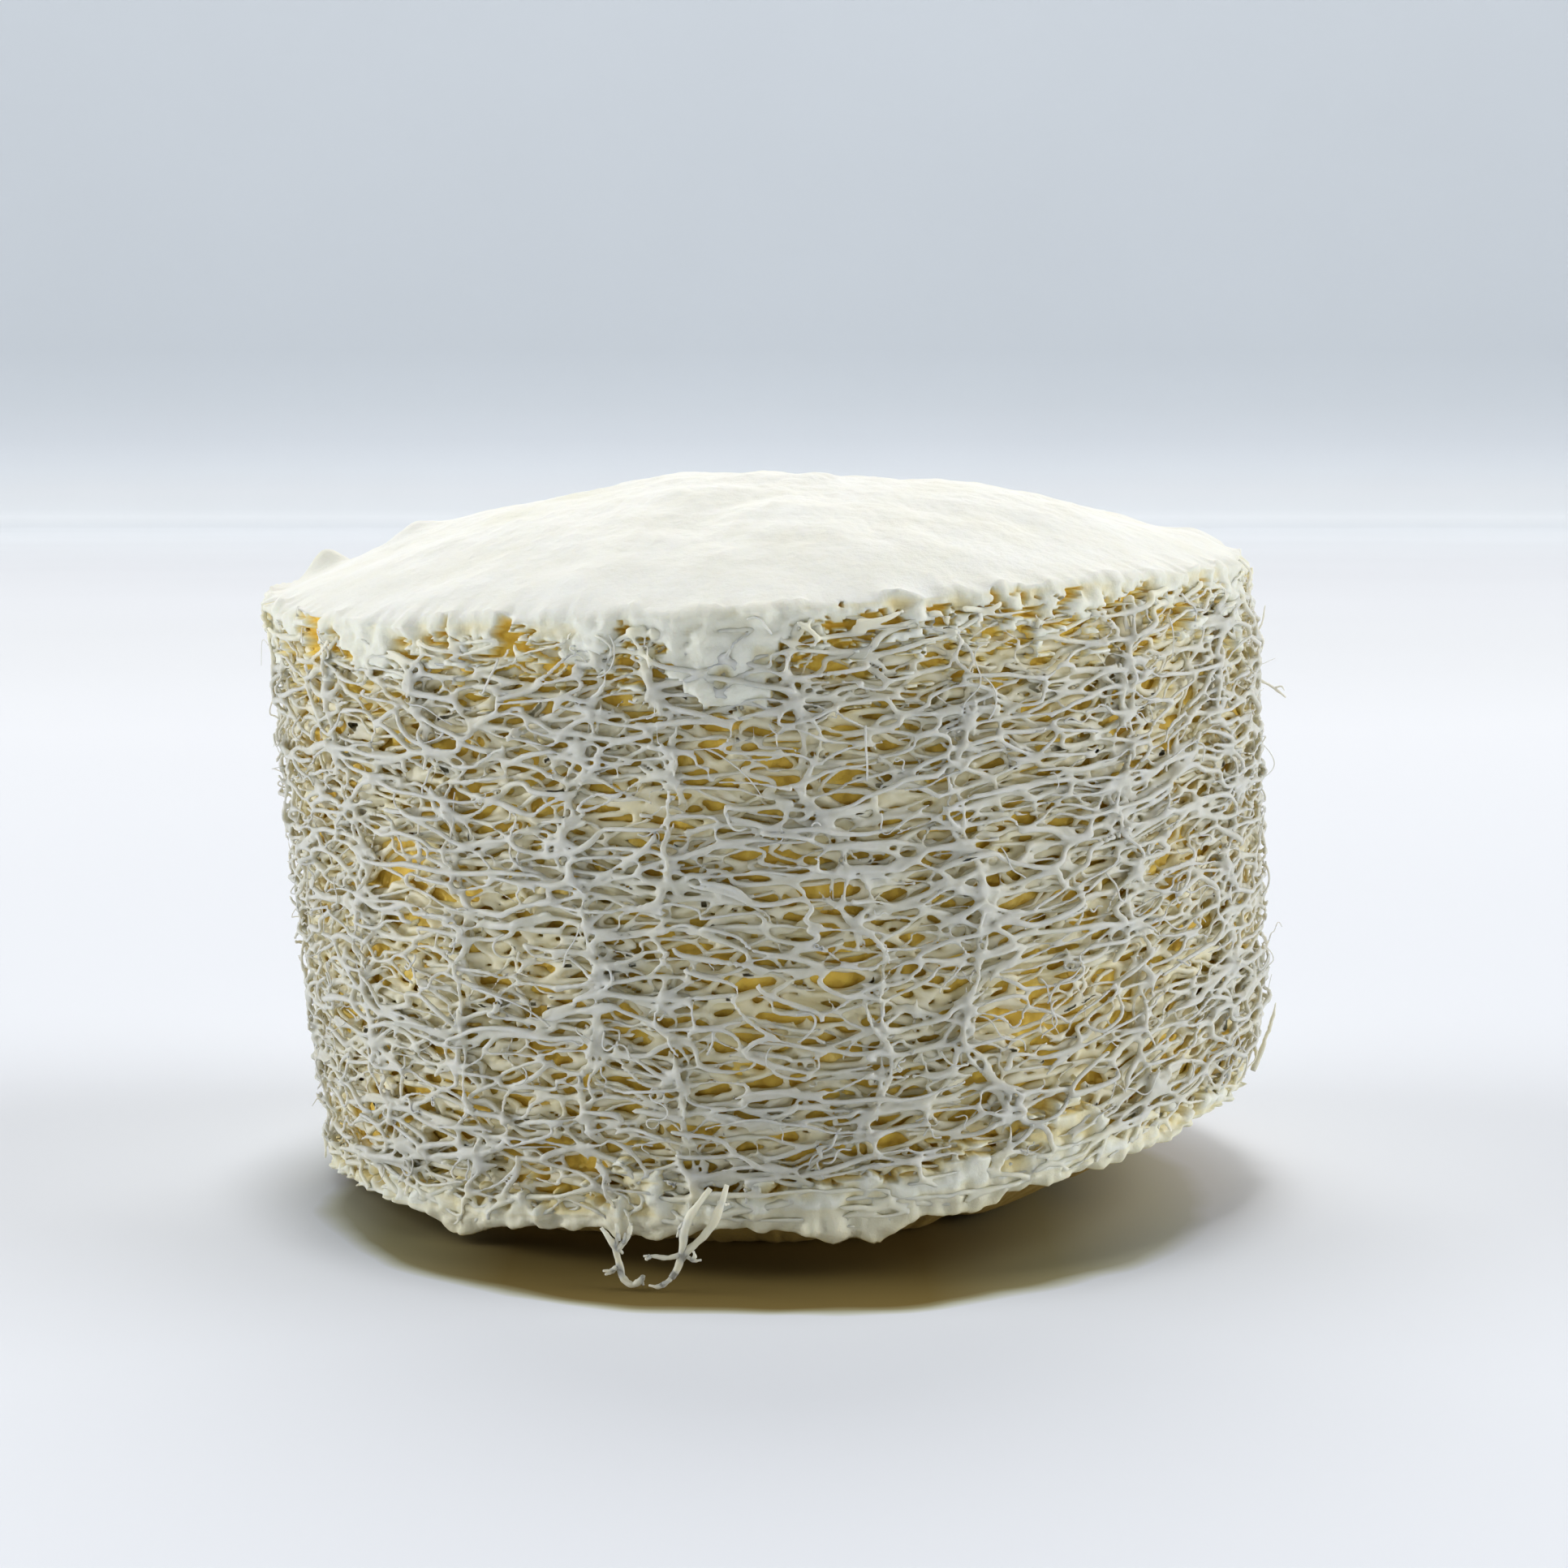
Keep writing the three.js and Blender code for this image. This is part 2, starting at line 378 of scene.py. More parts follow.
def lay_layer(block, rng, depth, pitch, radii, roughness, pinch):
    """Lays one layer of the net in the block, at a mean depth under the outer face."""
    ends = web(rng, pitch[0], pitch[1], pinch)
    run = ends[:, 1] - ends[:, 0]
    steep = np.abs(run[:, 1]) > 0.7 * np.abs(run[:, 0])
    ends = ends[rng.random(len(ends)) > np.where(steep, 0.6, 0.03)]
    t = np.linspace(0, 1, 30)
    run = ends[:, 1] - ends[:, 0]
    length = np.hypot(*run.T)
    ends, run = ends[length < 9], run[length < 9]
    flat = np.clip(np.abs(run[:, 0]) / (1.5 * np.abs(run[:, 1]) + 1e-6), 0, 1)[:, None]
    u = ends[:, 0, :1] + run[:, :1] * t
    v = ends[:, 0, 1:] + run[:, 1:] * (t + flat * (ease(t) - t))
    v = v + rng.normal(0, 0.05, (len(ends), 1)) * np.sin(math.pi * t)
    relief = Waves(rng, 4.5, 2.6, 20)
    bow = rng.normal(0, roughness * 0.5, (len(ends), 1)) * np.sin(math.pi * t)
    w = depth + roughness * relief(u, v) + bow
    u, v = Drift(rng, 1.0)(u, v)
    thin, thick = radii
    radius = thin + (thick - thin) * rng.beta(1.3, 2.2, (len(ends), 1)) * (0.45 + 0.55 * flat)
    radius = radius * (1 + 0.12 * Waves(rng, 6, 6)(u, v)) * (0.8 + 0.2 * np.sin(math.pi * t))
    radius = np.clip(radius, 0.85 * thin, 1.1 * thick)
    lay_paths(block, u, v, w, radius)


def flash_foot(u):
    """The level of the flash's lower edge, with its corners rounded off."""
    wrapped = round_from(u, 0)
    place, level = np.array(FLASH_EDGE).T
    return sum(np.interp(wrapped + side, place, level) for side in (-0.5, -0.25, 0, 0.25, 0.5)) / 5


def net_foot(u):
    """The level where the net ends at the bottom, a little above the flash's edge."""
    return flash_foot(u) * 0.75 + 0.2


def lay_paths(block, u, v, w, radius):
    """Lays strands given as rows of points."""
    step = np.hypot(np.hypot(np.gradient(u, axis=1), np.gradient(v, axis=1)), np.gradient(w, axis=1))
    ragged = 0.5 * np.sin(u * TURN / GIRTH * 31 + 1) + 0.3 * np.sin(u * TURN / GIRTH * 83)
    keep = (v > net_foot(u)) & (v < np.minimum(block.top + ragged, WALL_HEIGHT - 0.1))
    weight = block.thickness_weight(radius) * step
    block.lay(u[keep], v[keep], w[keep], np.broadcast_to(weight, u.shape)[keep])


def lay_climbers(block, rng, count):
    """Thin strands that wander up and down over the others."""
    each = (count, 1)
    t = np.linspace(0, 1, 160)
    length = rng.uniform(2.5, 9, each)
    lean = rng.normal(0, 0.4, each)
    swing = rng.normal(0, 0.4, each)
    turns = rng.uniform(0.7, 2.2, each)
    phase = rng.uniform(0, TURN, each)
    u = rng.uniform(0, GIRTH, each) + lean * length * t + swing * np.sin(TURN * turns * t + phase)
    v = rng.uniform(-2, WALL_HEIGHT, each) + length * t
    w = rng.uniform(0.05, 0.9, each) + 0.25 * np.sin(TURN * turns * t * 1.7 + phase * 2)
    lay_paths(block, u, v, w, rng.uniform(0.08, 0.13, each))


def lay_runners(block, rng, count):
    """Long strands that run round the drum over the net, nearly level."""
    each = (count, 1)
    t = np.linspace(0, 1, 200)
    length = rng.uniform(4, 20, each)
    rise = rng.normal(0, 0.05, each)
    phase = rng.uniform(0, TURN, each)
    u = rng.uniform(0, GIRTH, each) + length * t
    v = rng.uniform(0.5, WALL_HEIGHT - 0.5, each) + rise * length * t
    v = v + 0.22 * np.sin(length * t / 2.1 + phase) + 0.12 * np.sin(length * t / 0.9 + 2 * phase)
    u, v = Drift(rng, 0.8)(u, v)
    w = rng.uniform(0.0, 0.6, each) + 0.15 * np.sin(length * t / 1.7 + 3 * phase)
    swell = 0.6 + 0.4 * np.sin(math.pi * t)
    lay_paths(block, u, v, w, rng.uniform(0.1, 0.18, each) * swell)


def lay_knots(block, rng, at_u, at_v):
    """Stars of short strands that spring from these points and dive into the net."""
    t = np.linspace(0, 1, 40)
    rays = rng.integers(6, 12, len(at_u))
    at_u = np.repeat(at_u, rays)[:, None]
    at_v = np.repeat(at_v, rays)[:, None]
    each = (len(at_u), 1)
    heading = rng.uniform(0, TURN, each)
    length = rng.uniform(0.8, 2.6, each) * (0.6 + 0.7 * np.abs(np.cos(heading)))
    bend = rng.normal(0, 0.5, each)
    u = at_u + length * t * np.cos(heading + bend * t)
    v = at_v + length * t * np.sin(heading + bend * t)
    w = 0.1 + 0.75 * ease(t) * rng.uniform(0.3, 1.1, each)
    radius = rng.uniform(0.09, 0.17, each) * (1 - 0.3 * t)
    lay_paths(block, u, v, w, radius)


def lay_veins(block, rng, places):
    """Upright veins up the whole wall: a few thin twined strands with knots along them."""
    up = WALL_HEIGHT * np.linspace(0, 1, 500)

    def swing(tall, count):
        return Waves(rng, ENDLESS, tall, count)(0, up)

    for at in places:
        path = at + 0.9 * swing(18, 6)
        for _ in range(3):
            u = path + 0.35 * swing(5, 8)
            radius = 0.1 * np.clip(1.1 + swing(9, 6), 0.2, 1.3)
            w = 0.3 + 0.3 * swing(4, 8)
            lay_paths(block, u[None], up[None], w[None], radius[None])
        levels = np.arange(rng.uniform(1, 5), WALL_HEIGHT - 1, rng.uniform(3.5, 6.5))
        levels = levels + rng.normal(0, 0.8, len(levels))
        lay_knots(block, rng, np.interp(levels, up, path), levels)


def outer_net(rng):
    """The fine pale strands that one sees first: two layers, and what runs over them."""
    block = Block(pitch=(0.2, 0.11, 0.12), blur=0.085, w_range=(-0.6, 1.4))
    lay_layer(block, rng, depth=0.2, pitch=(4.2, 1.05), radii=(0.1, 0.2), roughness=0.16, pinch=0.72)
    lay_layer(block, rng, depth=0.62, pitch=(3.6, 0.85), radii=(0.09, 0.17), roughness=0.16, pinch=0.75)
    lay_runners(block, rng, count=330)
    lay_climbers(block, rng, count=40)
    lay_veins(block, rng, VEINS)
    return block.skin()


def inner_net(rng):
    """The broader strands behind, webbed together so that little shows between them."""
    block = Block(pitch=(0.26, 0.14, 0.16), blur=0.11, w_range=(0.4, 2.3))
    block.top = WALL_HEIGHT - 1.3
    lay_layer(block, rng, depth=0.95, pitch=(3.8, 0.78), radii=(0.16, 0.27), roughness=0.14, pinch=0.8)
    lay_layer(block, rng, depth=1.35, pitch=(3.4, 0.82), radii=(0.18, 0.31), roughness=0.14, pinch=0.8)
    return block.skin()


# -------- loose hairs and tufts

def sheet_quads(rows, columns, corners):
    """Quads between the rows of a sheet that joins up, from each corner's row and column."""
    row, column = np.mgrid[0:rows - 1, 0:columns]
    quads = [(row + i) * columns + (column + j) % columns for i, j in corners]
    return np.stack(quads, 2).reshape(-1, 4)


def tubes(paths, radii, sides=6):
    """Closed round tubes along rows of points, with the faces of each: quads, then triangles."""
    count, steps = paths.shape[:2]
    along = np.gradient(paths, axis=1)
    along /= np.linalg.norm(along, axis=2, keepdims=True) + 1e-9
    aside = np.cross(along, (0.31, 0.22, 0.92))
    aside /= np.linalg.norm(aside, axis=2, keepdims=True) + 1e-9
    across = np.cross(along, aside)
    turn = np.arange(sides) / sides * TURN
    spoke = aside[:, :, None] * np.cos(turn)[:, None] + across[:, :, None] * np.sin(turn)[:, None]
    rings = paths[:, :, None] + spoke * radii[:, :, None, None]
    points = np.concatenate([rings.reshape(count, -1, 3), paths[:, :1], paths[:, -1:]], 1)
    quads = sheet_quads(steps, sides, ((0, 0), (0, 1), (1, 1), (1, 0)))
    side = np.arange(sides)
    after = (side + 1) % sides
    last = (steps - 1) * sides
    first_tip, last_tip = steps * sides, steps * sides + 1
    tips = np.concatenate([
        np.stack([after, side, np.full(sides, first_tip)], 1),
        np.stack([last + side, last + after, np.full(sides, last_tip)], 1)])
    shift = (np.arange(count) * points.shape[1])[:, None, None]
    return points.reshape(-1, 3), (quads + shift).reshape(-1, 4), (tips + shift).reshape(-1, 3)


def loose_hairs(rng, count):
    """Thin curly hairs that stand out of the net all round."""
    each = (count, 1)
    t = np.linspace(0, 1, 26)
    length = rng.gamma(2.6, 0.75, each)
    heading = np.where(rng.random(each) < 0.6, 0.25, 0) * TURN + rng.normal(0, 0.7, each)
    heading = heading * rng.choice([-1, 1], each)
    curl = rng.normal(0, 1.6, each)
    wiggle = rng.normal(0, 0.9, each)
    phase = rng.uniform(0, TURN, each)
    heading = heading + curl * (t - 0.5) + wiggle * np.sin(TURN * 1.3 * t + phase)
    step = length / len(t)
    u = rng.uniform(0, GIRTH, each) + np.cumsum(step * np.cos(heading), 1)
    v = rng.uniform(0.8, WALL_HEIGHT - 0.8, each) + np.cumsum(step * np.sin(heading), 1)
    v = np.clip(v, -0.2, WALL_HEIGHT + 0.6)
    lift = rng.gamma(2.0, 0.2, each)
    free = rng.random(each) < 0.45
    rise = np.where(free, t ** 1.4, np.sin(math.pi * t))
    w = 0.15 - lift * rise
    radii = rng.uniform(0.035, 0.08, each) * (1 - np.where(free, 0.6, 0.2) * t)
    return tubes(on_wall(u, v, w), radii)


def branch(rng, points, radii):
    """One smooth strand through a few points of the bar, a little uneven."""
    knots = np.linspace(0, 1, len(points))
    t = np.linspace(0, 1, 26)
    path = np.stack([smooth_through(knots, points[:, i], t) for i in range(3)], 1)
    loose = 0.004 * np.linalg.norm(points[-1] - points[0])
    path = path + loose * np.cumsum(rng.normal(0, 1, path.shape), 0) * np.sin(math.pi * t)[:, None]
    path[:, 2] = np.maximum(path[:, 2], 0.12)
    knobs = 0.13 * np.sin(11 * t + points[0, 0]) + 0.07 * np.sin(27 * t + points[0, 2])
    return path, 1.15 * np.interp(t, knots, radii) * (1 + knobs)


def smooth_through(knots, values, t):
    """A smooth curve through the values at the knots (Catmull-Rom)."""
    slope = np.gradient(values, knots)
    i = np.clip(np.searchsorted(knots, t, side="right") - 1, 0, len(knots) - 2)
    gap = knots[i + 1] - knots[i]
    s = (t - knots[i]) / gap
    return ((2 * s ** 3 - 3 * s ** 2 + 1) * values[i] + (s ** 3 - 2 * s ** 2 + s) * gap * slope[i]
            + (3 * s ** 2 - 2 * s ** 3) * values[i + 1] + (s ** 3 - s ** 2) * gap * slope[i + 1])


# Two root-like tufts under the front edge: each branch's points, with its radius at each.
LEFT_TUFT = (
    ((-8.6, -30.6, 3.4, 0.1), (-8.2, -30.7, 2.9, 0.13), (-7.9, -30.6, 2.3, 0.16),
     (-7.7, -30.4, 1.5, 0.17), (-7.5, -30.3, 0.6, 0.15)),
    ((-7, -30.5, 3.5, 0.1), (-7.2, -30.7, 2.8, 0.13), (-7.75, -30.6, 2.2, 0.15)),
    ((-7.8, -30.5, 3.6, 0.08), (-7.7, -30.7, 3, 0.1), (-7.85, -30.6, 2.3, 0.12)),
    ((-7.65, -30.4, 1.1, 0.14), (-7.4, -30.5, 0.55, 0.15), (-7, -30.7, 0.3, 0.17),
     (-6.6, -30.8, 0.45, 0.16), (-6.35, -30.8, 0.8, 0.07)),
    ((-7.65, -30.4, 1.3, 0.12), (-8.1, -30.5, 1, 0.09), (-8.5, -30.7, 1.05, 0.05)),
)
RIGHT_TUFT = (
    ((-2.7, -31.2, 5.7, 0.14), (-3.3, -31.4, 4.9, 0.17), (-3.9, -31.3, 3.9, 0.2),
     (-4.15, -31, 2.6, 0.21), (-4.4, -30.8, 1.4, 0.18), (-4.8, -30.8, 0.7, 0.14)),
    ((-1.8, -31.2, 5.9, 0.13), (-2.1, -31.4, 4.9, 0.17), (-2.5, -31.3, 3.8, 0.2),
     (-3.2, -31.1, 2.9, 0.2), (-3.9, -30.9, 2.2, 0.17), (-4.25, -30.8, 1.7, 0.14)),
    ((-4.25, -30.9, 2, 0.15), (-5, -31, 1.85, 0.12), (-5.7, -31.1, 1.9, 0.1), (-6.3, -31.2, 2, 0.05)),
    ((-4.6, -30.8, 1, 0.14), (-5, -30.9, 0.5, 0.13), (-5.5, -31.1, 0.28, 0.11), (-6, -31.3, 0.42, 0.05)),
    ((-4.1, -30.9, 2, 0.12), (-3.6, -31, 1.7, 0.1), (-3.2, -31.1, 1.75, 0.05)),
    ((-3.9, -31.3, 4, 0.12), (-4.3, -31.2, 3.6, 0.09), (-4.5, -31, 3, 0.05)),
)

# Stray hairs and a curled flake that stand off the right side, in the same way.
RIGHT_HAIRS = (
    ((30.6, -1, 31.3, 0.07), (31.5, -1, 30.9, 0.08), (32.2, -1, 30.5, 0.075), (32.9, -1, 29.9, 0.05)),
    ((32.2, -1, 30.5, 0.06), (32.6, -1, 30.6, 0.05), (32.8, -1, 30.35, 0.03)),
    ((30.3, -1, 36.4, 0.08), (30.7, -1, 35.2, 0.09), (30.9, -1, 33.6, 0.1), (30.7, -1, 31.8, 0.08)),
    ((30.8, -1, 33.8, 0.07), (31.3, -1, 34.6, 0.06), (31.5, -1, 35.7, 0.03)),
    ((30.7, -1, 33.2, 0.07), (31.1, -1, 32.6, 0.05), (31, -1, 31.9, 0.03)),
    ((31, -1, 27.2, 0.06), (31.5, -1, 26.9, 0.05), (31.4, -1, 26.3, 0.03)),
    ((31.2, -1, 6, 0.16), (31.9, -1, 7.6, 0.14), (32.5, -1, 9.3, 0.1), (32.6, -1, 10.4, 0.04)),
)


def tuft(rng, branches, spurs=1):
    """A tuft of tapering strands that fork and join, with this many short spurs on each."""
    grown = [branch(rng, strand[:, :3], strand[:, 3]) for strand in map(np.array, branches)]
    for path, _ in list(grown):
        for _ in range(spurs):
            root = path[rng.integers(4, len(path))]
            heading = rng.normal(0, 1, 3) * (1, 0.4, 1)
            heading = heading / np.linalg.norm(heading) * rng.uniform(0.3, 0.65)
            bend = rng.normal(0, 0.08, 3)
            points = np.stack([root, root + heading / 2 + bend, root + heading])
            grown.append(branch(rng, points, (0.11, 0.09, 0.05)))
    paths, radii = zip(*grown)
    return tubes(np.stack(paths), np.stack(radii), 10)


# -------- mesh making

def put_in_scene(name, data):
    """A new object with this data, in the scene."""
    thing = bpy.data.objects.new(name, data)
    bpy.context.collection.objects.link(thing)
    return thing


def new_mesh(name, points, faces, material):
    """A smooth mesh object, in metres, riding on the bar, from an array of each kind of face."""
    mesh = bpy.data.meshes.new(name)
    mesh.vertices.add(len(points))
    mesh.vertices.foreach_set("co", (np.asarray(points) * MM).astype(np.float32).ravel())
    corners = np.concatenate([kind.ravel() for kind in faces]).astype(np.int32)
    sizes = np.concatenate([np.full(len(kind), kind.shape[1]) for kind in faces])
    mesh.loops.add(len(corners))
    mesh.loops.foreach_set("vertex_index", corners)
    mesh.polygons.add(len(sizes))
    mesh.polygons.foreach_set("loop_start", (np.cumsum(sizes) - sizes).astype(np.int32))
    mesh.update(calc_edges=True)
    mesh.validate()
    mesh.shade_smooth()
    mesh.materials.append(material)
    piece = put_in_scene(name, mesh)
    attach(piece, "root")
    return piece


def bake_map(piece, corners):
    """Gives the piece a flat map, for baking, from each face corner's place on it."""
    layer = piece.data.uv_layers.new(name="OFBake")
    layer.data.foreach_set("uv", corners.astype(np.float32).ravel())


def net_map(points, places, quads):
    """The net unrolled six times: its outward and its inward faces, each in three depths."""
    u, v, w = points.T
    first = u[quads[:, :1]]
    around = first + (u[quads] - first + GIRTH / 2) % GIRTH - GIRTH / 2
    one, two = places[quads[:, 2]] - places[quads[:, 0]], places[quads[:, 3]] - places[quads[:, 1]]
    outwards = (np.cross(one, two) * (places[quads[:, 0]] - SHIFT) * (1, 1, 0)).sum(1) > 0
    middle = w[quads].mean(1)
    slab = np.digitize(middle, np.quantile(middle, (1 / 3, 2 / 3)))
    strip = (3 * outwards + slab)[:, None]
    across = np.clip(around / GIRTH, 0, 1)
    up = (strip + 0.02 + 0.96 * np.clip((v[quads] + 1) / (WALL_HEIGHT + 2), 0, 1)) / 6
    return np.stack([across, up], 2)


def paint(piece, name, values):
    """Gives each point of the piece a number that its material reads."""
    layer = piece.data.attributes.new(name, "FLOAT", "POINT")
    layer.data.foreach_set("value", np.asarray(values, np.float32))


# -------- materials

WHITE = (1.0, 1.0, 1.0)


class Nodes:
    """Short ways to add and join shader nodes."""

    def __init__(self, name):
        self.material = bpy.data.materials.new(name)
        self.material.use_nodes = True
        self.tree = self.material.node_tree
        self.shader = self.tree.nodes["Principled BSDF"]

    def add(self, kind, **inputs):
        node = self.tree.nodes.new("ShaderNode" + kind)
        for key, value in inputs.items():
            self.feed(node.inputs[key.replace("_", " ")], value)
        return node

    def feed(self, socket, value):
        if isinstance(value, bpy.types.NodeSocket):
            self.tree.links.new(value, socket)
        else:
            socket.default_value = value

    def attribute(self, name):
        node = self.add("Attribute")
        node.attribute_name = name
        return node.outputs["Fac"]

    def ramp(self, factor, stops):
        node = self.add("ValToRGB", Fac=factor)
        elements = node.color_ramp.elements
        while len(elements) < len(stops):
            elements.new(0.5)
        for element, (position, colour) in zip(elements, stops):
            element.position = position
            element.color = (*colour, 1)
        return node.outputs["Color"]

    def noise(self, scale, detail=3.0, roughness=0.55):
        place = self.add("TexCoord").outputs["Object"]
        node = self.add("TexNoise", Vector=place, Scale=scale, Detail=detail, Roughness=roughness)
        return node.outputs["Fac"]

    def mix(self, factor, one, two, blend="MIX"):
        node = self.add("Mix")
        node.data_type = "RGBA"
        node.blend_type = blend
        self.feed(node.inputs[0], factor)
        self.feed(node.inputs[6], one)
        self.feed(node.inputs[7], two)
        return node.outputs[2]

    def operate(self, kind, operation, one, two=None):
        node = self.add(kind)
        node.operation = operation
        self.feed(node.inputs[0], one)
        if two is not None:
            self.feed(node.inputs[1], two)
        is_vector = kind == "VectorMath" and operation != "LENGTH"
        return node.outputs["Vector" if is_vector else "Value"]

    def span(self, value, low, high, start=0.0, end=1.0):
        """Goes from start to end as the value goes from low to high."""
        node = self.add("MapRange", Value=value, From_Min=low, From_Max=high, To_Min=start, To_Max=end)
        return node.outputs["Result"]

    def bump(self, height, strength, distance):
        node = self.add("Bump", Height=height, Strength=strength, Distance=distance)
        self.tree.links.new(node.outputs["Normal"], self.shader.inputs["Normal"])

    def set(self, **inputs):
        """Sets or links the shader's own inputs."""
        for key, value in inputs.items():
            self.feed(self.shader.inputs[key.replace("_", " ")], value)


def fibre_material():
    """Dry plant fibre: off-white, and soaked with soap at its edges; deeper strands are painted lighter
    and yellower, and the tufts lighter with the soaked colour, as painted light.
    """
    nodes = Nodes("luffa_fibre")
    # Painted light: the deeper the strand, the lighter and yellower it is painted, lifting the shade
    # between the layers.
    tone = nodes.ramp(nodes.attribute("depth"), (
        (0.0, (0.535, 0.54, 0.50)), (0.18, (0.60, 0.59, 0.50)), (0.38, (0.78, 0.72, 0.51)),
        (0.6, (0.87, 0.75, 0.42)), (1.0, (0.86, 0.66, 0.24))))
    mottle = nodes.ramp(nodes.noise(scale=900, detail=4), ((0.35, (0.88, 0.88, 0.84)), (0.65, WHITE)))
    tone = nodes.mix(1.0, tone, mottle, "MULTIPLY")
    tone = nodes.mix(nodes.attribute("soaked_and_lit"), tone, (0.70, 0.68, 0.53, 1))
    nodes.set(Base_Color=tone, Roughness=0.55, Specular_IOR_Level=0.4,
              Subsurface_Weight=0.6, Subsurface_Radius=(1.0, 0.85, 0.6), Subsurface_Scale=0.001)
    nodes.bump(nodes.noise(scale=2600, detail=3), strength=0.3, distance=0.00006)
    return nodes.material


def soap_material():
    """Waxy cream soap, near white where it is open; behind the net it is painted a warm ochre, deeper
    with depth, for shade and for light glowing through the soap, and underneath it is painted dark brown
    shade.
    """
    nodes = Nodes("cream_soap")
    shade = nodes.ramp(nodes.attribute("recess"), (
        (0.0, (0.76, 0.775, 0.735)), (0.12, (0.69, 0.70, 0.605)), (0.3, (0.72, 0.64, 0.37)),
        (0.7, (0.82, 0.57, 0.09)), (0.86, (0.76, 0.52, 0.08)), (1.0, (0.34, 0.225, 0.055))))
    mottle = nodes.ramp(nodes.noise(scale=260, detail=5), ((0.3, (0.95, 0.94, 0.89)), (0.7, WHITE)))
    tone = nodes.mix(1.0, shade, mottle, "MULTIPLY")
    nodes.set(Base_Color=tone, Roughness=0.6, Specular_IOR_Level=0.3,
              Subsurface_Weight=0.25, Subsurface_Radius=(1.0, 0.75, 0.4), Subsurface_Scale=0.0012)
    nodes.bump(nodes.noise(scale=1900, detail=6, roughness=0.6), strength=0.5, distance=0.0002)
    return nodes.material


# -------- the soap

# Faint ochre stains on the dome: place and size.
DOME_STAINS = ((-28.6, 3, 1.8), (-14.5, -8, 2.4), (-11, -5, 1.8), (9, 12, 3), (-6, 17, 2.5))

# Points round the soap, and rings over its dome and its bulge.
AROUND = 960
DOME_ROWS = 110
BULGE_ROWS = 40

# The rounded lower edge of the flash, from outside to inside: inset, share of its drop, shade. The shade
# is the recess value: the rows tucked under are painted darker, up to the brown painted shade
# underneath.
FLASH_LIP = ((0.0, 0.12, 0.19), (0.01, 0.25, 0.18), (0.02, 0.4, 0.17), (0.04, 0.55, 0.17),
             (0.08, 0.7, 0.18), (0.15, 0.85, 0.2), (0.27, 0.95, 0.24), (0.45, 1.0, 0.4),
             (0.7, 0.85, 0.9), (1.3, 0.3, 1.0), (3.0, 0.2, 1.0))

# The level where the lip starts, and how recessed faint stains, the deepest soap and the bulge are; on
# the deepest soap and the bulge this is painted shade, ochre and dark brown.
LIP_LEVEL = -0.35
STAIN_SHADE = 0.09
DEEPEST_SHADE = 0.85
BULGE_SHADE = 1.0

# Where the flash stands up over the net: place round the wall, width and height.
FLASH_LUMPS = ((-22.8, 1.6, 0.6), (-9, 2.2, 2.5), (2.5, 4.5, 1.1), (10, 3.6, 1.5), (17.2, 3.0, 3.2),
               (43, 3, 1), (61, 2, 2.4), (88, 4, 3), (115, 2.4, 2.6), (141, 3, 2.2))

# Where the soap has run down over the net: place round the wall, width and length.
DRIPS = ((-1.8, 3.4, 5.2), (-10.0, 1.2, 2.6), (-25.5, 3.0, 2.3), (36.4, 1.6, 5.0),
         (49, 2.2, 3.4), (67, 1.5, 4.6), (92, 3.0, 3.0), (118, 1.6, 4.2), (139, 2.4, 3.2))


def dome_relief(x, y, fade):
    """The dome's broad unevenness, none at the rim."""
    relief = -DOME_HEIGHT * fade * DOME_LEAN * x / TOP_RADIUS
    for at_x, at_y, spread, height in SWELLINGS:
        away = np.hypot(x - at_x, y - at_y) / spread
        relief = relief + height * np.exp(-away ** 2) * np.minimum(1, 4 * fade)
    return relief


class Ripples(Waves):
    """A smooth random field over the plane, with swings about `size` across."""

    def __init__(self, rng, size, count=24):
        heading = rng.uniform(0, TURN, count)
        rate = TURN / size * rng.uniform(0.6, 1.5, count)
        self.rounds = rate * np.cos(heading)
        self.climbs = rate * np.sin(heading)
        self.phases = rng.uniform(0, TURN, count)


def soap_cover(rng, u, v):
    """How far the soap lies over the net, from 0 for none to 1, and where it runs down as drips."""
    u = u + 0.35 * Waves(rng, 2.2, 1.8, 20)(u, v)
    down = WALL_HEIGHT - v + 0.3 * Waves(rng, 1.8, 1.4, 20)(u, v)
    reach = 1.05 + 0.7 * Waves(rng, 8)(u, v) + 0.5 * Waves(rng, 2.6)(u, v)
    reach = reach + 1.0 * np.exp(-(round_from(u, 20) / 5) ** 2)
    holes = Waves(rng, 2.2, 0.95, 30)(u, v)
    film = ease((reach - down + 1.9 * holes * ease(down / 0.5)) / 0.5 + 0.5)
    drip = 0
    for at, width, length in DRIPS:
        away = round_from(u, at)
        tongue = length * np.exp(-np.abs(away / width) ** 3)
        drip = np.maximum(drip, ease((tongue - down) / 0.5 + 0.5) * ease(tongue))
    return np.maximum(film, drip), drip


def flash_cover(rng, u, v):
    """The same at the bottom edge, where the soap squeezed out under the slice."""
    u = u + 0.3 * Waves(rng, 2.4, 2, 20)(u, v)
    reach = 0.4 + 0.3 * Waves(rng, 7)(u, v) + 0.3 * Waves(rng, 2.2)(u, v)
    for at, width, height in FLASH_LUMPS:
        away = round_from(u, at)
        reach = np.maximum(reach, height * np.exp(-np.abs(away / width) ** 3))
    holes = Waves(rng, 2.4, 1.0, 24)(u, v)
    return ease((reach - v + 0.7 * holes * ease((v - 0.2) / 0.8)) / 0.6 + 0.5)


